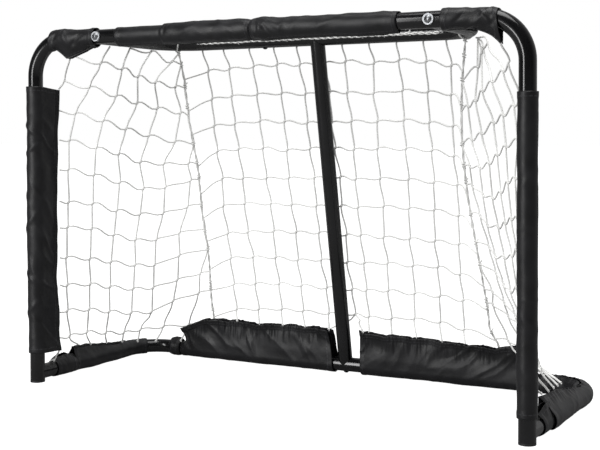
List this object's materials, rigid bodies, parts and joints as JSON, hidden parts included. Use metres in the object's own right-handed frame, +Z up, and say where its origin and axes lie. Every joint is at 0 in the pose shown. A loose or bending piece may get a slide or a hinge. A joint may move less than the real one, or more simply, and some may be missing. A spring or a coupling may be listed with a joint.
{
  "type": "hockey goal net",
  "caption": "Small street hockey goal: bolted frame of round steel tube with a knotted net held on it by black nylon sleeves and lacing.",
  "frame": {"origin": "on the floor, at the centre of the goal's footprint", "axes": "+X along the goal line, to the right as a shooter sees it; +Y from the mouth to the back; +Z up"},
  "size_m": [0.7995, 0.317, 0.5329],
  "materials": {
    "frame_paint": "gloss black powder coat on steel tube",
    "black_plastic": "moulded black polyethylene",
    "zinc_steel": "dull zinc plate",
    "black_steel": "black oxide",
    "black_nylon": "woven black nylon with sewn hems",
    "net_cord": "white braided polyester cord",
    "lacing_cord": "white twisted lacing"
  },
  "bodies": {
    "root": {"front_tube_left": "frame_paint", "front_tube_right": "frame_paint", "top_tube_left": "frame_paint", "top_tube_right": "frame_paint", "base_tube_left": "frame_paint", "base_tube_right": "frame_paint", "rear_brace": "frame_paint", "foot_plugs": "black_plastic", "front_screws": "zinc_steel", "top_tube_inserts": "zinc_steel", "brace_inserts": "zinc_steel", "saddle_washers": "zinc_steel", "brace_screws": "black_steel", "top_joint_screw": "black_steel", "post_sleeve_left": "black_nylon", "post_sleeve_right": "black_nylon", "corner_sleeve_left": "black_nylon", "corner_sleeve_right": "black_nylon", "crossbar_sleeve_left": "black_nylon", "crossbar_sleeve_right": "black_nylon", "leg_collar_left": "black_nylon", "leg_collar_right": "black_nylon", "leg_sleeve_left": "black_nylon", "leg_sleeve_right": "black_nylon", "rear_collar_left": "black_nylon", "rear_collar_right": "black_nylon", "rear_panel_left": "black_nylon", "rear_panel_right": "black_nylon", "net_back": "net_cord", "net_left": "net_cord", "net_right": "net_cord", "net_top": "net_cord", "seam_cord_left": "lacing_cord", "seam_cord_right": "lacing_cord", "top_rope": "lacing_cord"}
  },
  "joints": []
}
